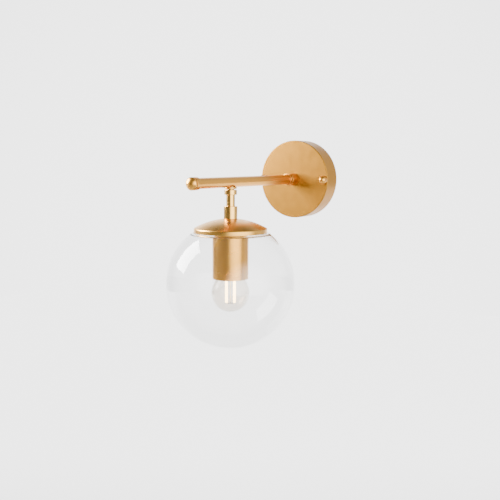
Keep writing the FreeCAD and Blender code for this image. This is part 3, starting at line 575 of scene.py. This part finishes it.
class SCONCE_OT_stem(SconceOperator, bpy.types.Operator):
    """The bead under the arm, the swivel's shell, the stem and its sleeve"""

    bl_idname = "sconce.stem"
    bl_label = "Swivel and stem"

    def turn(self, name, outline, node, body, edge):
        piece = spun(name, outline, STEM_TOP, STEM_AXIS, TUBE_STEPS, edge)
        settle(piece, body, "turned_bar_gold_plate", node)

    def execute(self, context):
        sizes = self.sizes()
        edge, bore, pivot = sizes.turned_edge, sizes.stem_bore, sizes.pivot_bore
        bead, bead_top, bead_end = on_stem("swivel_bead")
        shell, shell_top, shell_end = on_stem("swivel_shell")
        stem, stem_top, stem_end = on_stem("stem_tube")
        sleeve, sleeve_top, sleeve_end = on_stem("stem_sleeve")
        cavity, roof = sizes.swivel_cavity, shell_top + sizes.swivel_roof
        self.turn("bead_turned", ring(bead, pivot, bead_top, bead_end),
                  "swivel_bead", "wall_mount", sizes.bead_edge)
        self.turn("swivel_shell_turned", [
            (shell, shell_top), (shell, shell_end), (stem, shell_end), (stem, stem_top),
            (cavity, stem_top), (cavity, roof), (pivot, roof), (pivot, shell_top),
            (shell, shell_top)], "swivel_shell", "lamp_head", edge)
        self.turn("stem_turned", ring(stem, bore, stem_top, stem_end),
                  "stem_tube", "lamp_head", edge / 2)
        self.turn("sleeve_turned", [
            (sleeve, sleeve_top), (sleeve, sleeve_end), (bore, sleeve_end), (bore, stem_end),
            (stem, stem_end), (stem, sleeve_top), (sleeve, sleeve_top)],
            "stem_sleeve", "lamp_head", edge)
        return {"FINISHED"}


class SCONCE_OT_dome(SconceOperator, bpy.types.Operator):
    """The domed cap with its rolled rim and three vents"""

    bl_idname = "sconce.dome"
    bl_label = "Domed cap"

    def execute(self, context):
        sizes = self.sizes()
        radius, seat, bottom = on_stem("dome_cap")
        curve = sizes.dome_curve
        centre = bottom - sizes.dome_band + math.sqrt(curve ** 2 - radius ** 2)
        outline = self.outline(sizes, radius, seat, bottom, centre)
        dome = spun("dome_spun", outline, STEM_TOP, STEM_AXIS, WIDE_STEPS)
        round_edges(dome, sizes.spun_edge)
        self.drill_vents(dome, sizes, seat)
        settle(dome, "lamp_head", "polished_gold_lacquer", "dome_cap")
        # The dome's inside and its holes get a dark steel as painted shade.
        self.paint_shade_inside(dome, sizes, centre)
        return {"FINISHED"}

    def outline(self, sizes, radius, seat, bottom, centre):
        """A shallow dome, a rounded shoulder, a straight band and a lip inside it."""
        wall, lip, shoulder = sizes.sheet_metal, sizes.rim_lip, sizes.dome_shoulder
        curve, inner_curve = sizes.dome_curve, sizes.dome_curve - wall
        bore = radius_of("cap_nipple")

        def slope(sphere, across):
            return -math.degrees(math.acos(across / sphere))

        def seat_radius(sphere, depth):
            return math.sqrt(sphere ** 2 - (centre - depth) ** 2)

        crown_end = radius - shoulder
        crown = arc((0, centre), curve, slope(curve, seat_radius(curve, seat)),
                    slope(curve, crown_end), 40)
        corner = [(crown_end + shoulder * math.sin(turn),
                   crown[-1][1] + shoulder * (1 - math.cos(turn)))
                  for turn in (math.radians(angle) for angle in range(50, 91, 10))]
        inside = radius - wall
        under = arc((0, centre), inner_curve, slope(inner_curve, inside),
                    slope(inner_curve, seat_radius(inner_curve, seat + wall)), 32)
        return [(bore, seat), *crown, *corner, (radius, bottom), (inside - lip, bottom),
                (inside - lip, bottom - lip), (inside, bottom - lip), *under,
                (bore, seat + wall), (bore, seat)]

    def drill_vents(self, dome, sizes, seat):
        """Cut the three holes. The drill reaches well through the dome on both sides."""
        depth, middle = 12 * MM, seat + 2 * MM
        for degrees in (-60, 60, 180):
            turn = math.radians(degrees)
            outward = Vector((math.cos(turn), math.sin(turn), 0))
            deselect()
            bpy.ops.mesh.primitive_cylinder_add(
                vertices=48, radius=sizes.vent_radius, depth=depth,
                location=STEM_TOP + outward * sizes.vent_circle + STEM_AXIS * middle)
            drill = bpy.context.object
            apply_modifier(dome, "BOOLEAN", operation="DIFFERENCE", object=drill,
                           solver="EXACT")
            bpy.data.objects.remove(drill)
        deselect()
        dome.select_set(True)
        bpy.context.view_layer.objects.active = dome
        bpy.ops.object.shade_smooth_by_angle(angle=math.radians(30))

    def paint_shade_inside(self, dome, sizes, centre):
        """Give the inside of the dome and the walls of its holes a steel far darker than bare
        steel: painted shade, so that the vents look dark.
        """
        dome.data.materials.append(finish("dark_steel_painted_shade"))
        middle = STEM_TOP + STEM_AXIS * centre
        skin = sizes.dome_curve - sizes.sheet_metal / 4
        reach = sizes.vent_circle + 9 * MM
        for face in dome.data.polygons:
            place = face.center - middle
            if place.length < skin and place.xy.length < reach:
                face.material_index = 1


class SCONCE_OT_cover(SconceOperator, bpy.types.Operator):
    """The metal cover round the lampholder"""

    bl_idname = "sconce.cover"
    bl_label = "Lampholder cover"

    def execute(self, context):
        sizes = self.sizes()
        radius, top, bottom = on_stem("socket_cup")
        wall, shoulder = sizes.cover_wall, sizes.cover_shoulder
        bore = radius_of("cap_nipple")
        turn = (radius - shoulder, top + shoulder)
        outline = [(bore, top), *arc(turn, shoulder, -90, 0, 10), (radius, bottom),
                   (radius - wall, bottom), *arc(turn, shoulder - wall, 0, -90, 8),
                   (bore, top + wall), (bore, top)]
        cover = spun("cover_spun", outline, STEM_TOP, STEM_AXIS, COVER_STEPS)
        round_edges(cover, sizes.spun_edge)
        settle(cover, "lamp_head", "spun_cover_gold_lacquer", "socket_cup")
        return {"FINISHED"}


class SCONCE_OT_globe(SconceOperator, bpy.types.Operator):
    """The blown globe and its neck"""

    bl_idname = "sconce.globe"
    bl_label = "Glass globe"

    def execute(self, context):
        sizes = self.sizes()
        wall, root, soft = sizes.globe_wall, sizes.neck_root, sizes.globe_shoulder
        radius, top, bottom = on_stem("globe")
        neck = radius_of("globe_gasket")
        rim = on_stem("dome_cap")[2]
        centre, shoulder = bottom - radius, rim + sizes.globe_gap
        start = -math.degrees(math.asin((centre - shoulder - soft) / (radius - soft)))
        across = (radius - soft) * math.cos(math.radians(start))
        inner = radius - wall
        inner_start = -math.degrees(math.asin((centre - shoulder - wall) / inner))
        outline = [(neck - wall, top), (neck, top), (neck, shoulder - root),
                   *arc((neck + root, shoulder - root), root, 180, 90, 6)[1:],
                   *arc((across, shoulder + soft), soft, -90, start, 8),
                   *arc((0, centre), radius, start, 90, 72)[1:],
                   *arc((0, centre), inner, 90, inner_start, 72),
                   *arc((neck - wall + root, shoulder + wall - root), root, 90, 180, 6),
                   (neck - wall, top)]
        globe = spun("globe_blown", outline, STEM_TOP, STEM_AXIS, WIDE_STEPS)
        settle(globe, "globe", "clear_blown_soda_glass", "globe")
        return {"FINISHED"}


class SCONCE_OT_bulb(SconceOperator, bpy.types.Operator):
    """The lit bulb's glass and filaments"""

    bl_idname = "sconce.bulb"
    bl_label = "Bulb"

    def execute(self, context):
        sizes = self.sizes()
        self.glass(sizes.bulb_wall, sizes.bulb_neck)
        self.filaments(sizes)
        return {"FINISHED"}

    def glass(self, wall, neck):
        """A ball on a neck, joined where the line from the neck touches the ball."""
        radius, top, bottom = on_stem("bulb_glass")
        cap_end = on_stem("bulb_screw_cap")[2]
        centre = bottom - radius
        rise = centre - cap_end
        reach = math.hypot(neck, rise)
        touch = math.degrees(math.atan2(neck, rise) + math.acos(radius / reach)) - 90
        outline = [(neck - wall, top), (neck, top), (neck, cap_end),
                   *arc((0, centre), radius, touch, 90, 48),
                   *arc((0, centre), radius - wall, 90, touch, 48),
                   (neck - wall, cap_end), (neck - wall, top)]
        piece = spun("bulb_blown", outline, STEM_TOP, STEM_AXIS, BULB_STEPS)
        settle(piece, "bulb", "clear_bulb_glass", "bulb_glass")

    def filaments(self, sizes):
        """Two round-ended rods, wider than the real ones by the glow of their coating."""
        thick, turn = sizes.filament_radius, sizes.filament_turn
        top, bottom = on_stem("bulb_filaments")[1:]
        outline = [(0, top), *arc((0, top + thick), thick, -90, 0, 8)[1:],
                   *arc((0, bottom - thick), thick, 0, 90, 8)]
        middle = middle_of("bulb_filaments")
        across = Vector((math.cos(turn), math.sin(turn), 0)) * sizes.filament_offset
        for side, name in ((1, "right"), (-1, "left")):
            place = Vector((middle.x, middle.y, 0)) + across * side
            rod = spun(f"filament_coated_{name}", outline, place, STEM_AXIS, FILAMENT_STEPS)
            settle(rod, "bulb", "lit_phosphor_filament",
                   "bulb_filaments")


class SCONCE_OT_inner_parts(SconceOperator, bpy.types.Operator):
    """Finishes for the pieces of the frame that show as they are"""

    bl_idname = "sconce.inner_parts"
    bl_label = "Inner parts"

    FINISHES = {
        "zinc_plated_steel": (
            "wall_bracket", "canopy_studs", "arm_nipple", "arm_lock_nut", "arm_lock_washer",
            "cap_nipple", "dome_lock_nut", "swivel_washer", "tube_insert"),
        "bare_brass": (
            "swivel_pivot", "earth_screw", "screw_shell", "centre_contact",
            "terminal_screws"),
        "rolled_aluminium": ("bulb_screw_cap", "bulb_tip_contact"),
        "urea_moulding": ("lampholder_cap", "lampholder_body"),
        "polyamide_block": ("terminal_block",),
        "black_cap_glass": ("bulb_insulator",),
        "clear_bulb_glass": ("bulb_glass_stem",),
        "nickel_wire": ("bulb_wires",),
        "silicone_rubber": ("globe_gasket",),
    }

    def execute(self, context):
        for material, nodes in self.FINISHES.items():
            for node in nodes:
                coat(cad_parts[node], material)
        return {"FINISHED"}


# ----------------------------------------------------------------------- stage

# Soft-edged lights of the studio, seen from the object: the turn to the right of the
# camera's side, the height and the half width in degrees, and the brightness. They are
# the key light, the fill from the right and the backdrop.
STUDIO_LIGHTS = ((34, 2, 48, 7.0), (100, 20, 55, 0.9), (180, -5, 54, 3.9))
STUDIO_BASE = 0.24

# The softbox on the left, seen from the middle of the globe: its turn and height in
# degrees, its distance and its size in metres, and its brightness.
SOFTBOX_TURN, SOFTBOX_RISE = -102, 30.7
SOFTBOX_DISTANCE = 0.55
SOFTBOX_WIDTH, SOFTBOX_HEIGHT = 0.29, 0.36
SOFTBOX_RADIANCE = 36.0

FLOOR_SIZE = 8
FLOOR_DROP = 0.8


def direction(azimuth, elevation):
    """A direction from the object: its turn to the right of straight in front of the
    wall, and its height angle."""
    flat = math.cos(elevation)
    return Vector((math.sin(azimuth) * flat, -math.cos(azimuth) * flat, math.sin(elevation)))


def aim(turn, height):
    """A direction seen from the object: its turn to the right of the camera's side and
    its height, in degrees."""
    azimuth = bpy.context.scene.sconce_camera.azimuth
    return direction(azimuth + math.radians(turn), math.radians(height))


def facing(tree, looking, towards):
    """The cosine of the angle between two directions, or a place's distance along one."""
    return add_node(tree, "ShaderNodeVectorMath", {0: looking, 1: towards},
                    operation="DOT_PRODUCT").outputs["Value"]


def ramp(tree, value, start, end, brightness):
    """Rises smoothly from nothing at start to the brightness at end."""
    return add_node(tree, "ShaderNodeMapRange", {
        "Value": value, "From Min": start, "From Max": end, "To Min": 0.0,
        "To Max": brightness}, interpolation_type="SMOOTHSTEP").outputs["Result"]


def studio_air(scene):
    """A white studio: a large key light right of the camera, some light from the right,
    a bright backdrop and little light from anywhere else."""
    world = bpy.data.worlds.new("studio_air")
    scene.world = world
    world.use_nodes = True
    tree = world.node_tree
    tree.nodes.clear()
    looking = add_node(tree, "ShaderNodeTexCoord").outputs["Generated"]
    total = STUDIO_BASE
    for turn, height, half_width, brightness in STUDIO_LIGHTS:
        light = ramp(tree, facing(tree, looking, aim(turn, height)),
                     math.cos(math.radians(half_width)), 1.0, brightness)
        total = add_node(tree, "ShaderNodeMath", {0: light, 1: total},
                         operation="ADD").outputs[0]
    sky = add_node(tree, "ShaderNodeBackground", {
        "Color": rgba(linear("#FAFAFA")), "Strength": total})
    end = add_node(tree, "ShaderNodeOutputWorld")
    tree.links.new(sky.outputs["Background"], end.inputs["Surface"])


def left_softbox():
    """A rectangular area light, high on the left, that faces the globe."""
    radius, _, bottom = on_stem("globe")
    globe = STEM_TOP + STEM_AXIS * (bottom - radius)
    outward = aim(SOFTBOX_TURN, SOFTBOX_RISE)
    deselect()
    bpy.ops.object.light_add(
        type="AREA", location=globe + outward * SOFTBOX_DISTANCE,
        rotation=outward.to_track_quat("Z", "Y").to_euler())
    lamp = bpy.context.object
    lamp.name = "left_softbox"
    lamp.data.shape = "RECTANGLE"
    lamp.data.size = SOFTBOX_WIDTH
    lamp.data.size_y = SOFTBOX_HEIGHT
    lamp.data.energy = 4 * SOFTBOX_WIDTH * SOFTBOX_HEIGHT * SOFTBOX_RADIANCE
    lamp.visible_camera = False


def photo_camera(context):
    """The camera at the photograph's place, with its lens and roll."""
    view = context.scene.sconce_camera
    back = direction(view.azimuth, view.elevation)
    right = Vector((math.cos(view.azimuth), math.sin(view.azimuth), 0))
    up = back.cross(right)
    rolled_right = right * math.cos(view.roll) + up * math.sin(view.roll)
    rolled_up = up * math.cos(view.roll) - right * math.sin(view.roll)
    turn = Matrix((rolled_right, rolled_up, back)).transposed()
    deselect()
    bpy.ops.object.camera_add(
        location=Vector(view.looks_at) + back * view.distance, rotation=turn.to_euler())
    camera = context.object
    camera.name = "photo_camera"
    camera.data.lens = view.lens
    camera.data.sensor_width = view.sensor
    context.scene.camera = camera


def studio_floor(context):
    """A pale matt floor. Its far side glows a little, to be as bright as the backdrop."""
    deselect()
    bpy.ops.mesh.primitive_plane_add(
        size=FLOOR_SIZE, location=(0, 0, CAD_BOX[0][2] - FLOOR_DROP))
    floor = context.object
    floor.name = "floor"
    tree = new_tree("pale_matt_floor")
    place = object_place(tree)
    away = facing(tree, place, aim(180, 0))
    finish_tree(tree, {
        "Base Color": rgba(context.scene.sconce_colours.floor),
        "Roughness": varied(tree, place, 0.4, 0.75, 0.85), "Emission Color": rgba((1, 1, 1)),
        "Emission Strength": ramp(tree, away, -0.4, 1.6, 3.1)})
    floor.data.materials.append(MADE["pale_matt_floor"])


class SCONCE_OT_stage(SconceOperator, bpy.types.Operator):
    """The pale floor, the soft studio light and the camera"""

    bl_idname = "sconce.stage"
    bl_label = "Stage and camera"

    def execute(self, context):
        photo_camera(context)
        studio_floor(context)
        studio_air(context.scene)
        left_softbox()
        return {"FINISHED"}


# ---------------------------------------------------------------------- add-on

class SCONCE_PT_sidebar(bpy.types.Panel):
    """The sconce's operators and sizes"""

    bl_label = "Globe Wall Sconce"
    bl_idname = "SCONCE_PT_sidebar"
    bl_space_type = "VIEW_3D"
    bl_region_type = "UI"
    bl_category = "Sconce"

    def draw(self, context):
        layout = self.layout
        for group in ("sconce_sizes", "sconce_colours", "sconce_camera"):
            box = layout.box()
            settings = getattr(context.scene, group)
            for name in settings.bl_rna.properties.keys():
                if name not in ("rna_type", "name"):
                    box.prop(settings, name)
        for operator in OPERATORS:
            layout.operator(operator.bl_idname)


GROUPS = (SconceSizes, SconceColours, SconceCamera)
OPERATORS = (SCONCE_OT_canopy, SCONCE_OT_arm, SCONCE_OT_stem, SCONCE_OT_dome, SCONCE_OT_cover,
             SCONCE_OT_globe, SCONCE_OT_bulb, SCONCE_OT_inner_parts, SCONCE_OT_stage)
CLASSES = (*GROUPS, *OPERATORS, SCONCE_PT_sidebar)


def register():
    for piece in CLASSES:
        bpy.utils.register_class(piece)
    bpy.types.Scene.sconce_sizes = bpy.props.PointerProperty(type=SconceSizes)
    bpy.types.Scene.sconce_colours = bpy.props.PointerProperty(type=SconceColours)
    bpy.types.Scene.sconce_camera = bpy.props.PointerProperty(type=SconceCamera)


def unregister():
    MADE.clear()
    del bpy.types.Scene.sconce_camera
    del bpy.types.Scene.sconce_colours
    del bpy.types.Scene.sconce_sizes
    for piece in reversed(CLASSES):
        bpy.utils.unregister_class(piece)


def main():
    register()
    bpy.ops.sconce.canopy()
    bpy.ops.sconce.arm()
    bpy.ops.sconce.stem()
    bpy.ops.sconce.dome()
    bpy.ops.sconce.cover()
    bpy.ops.sconce.globe()
    bpy.ops.sconce.bulb()
    bpy.ops.sconce.inner_parts()
    bpy.ops.sconce.stage()


if __name__ == "__main__":
    main()
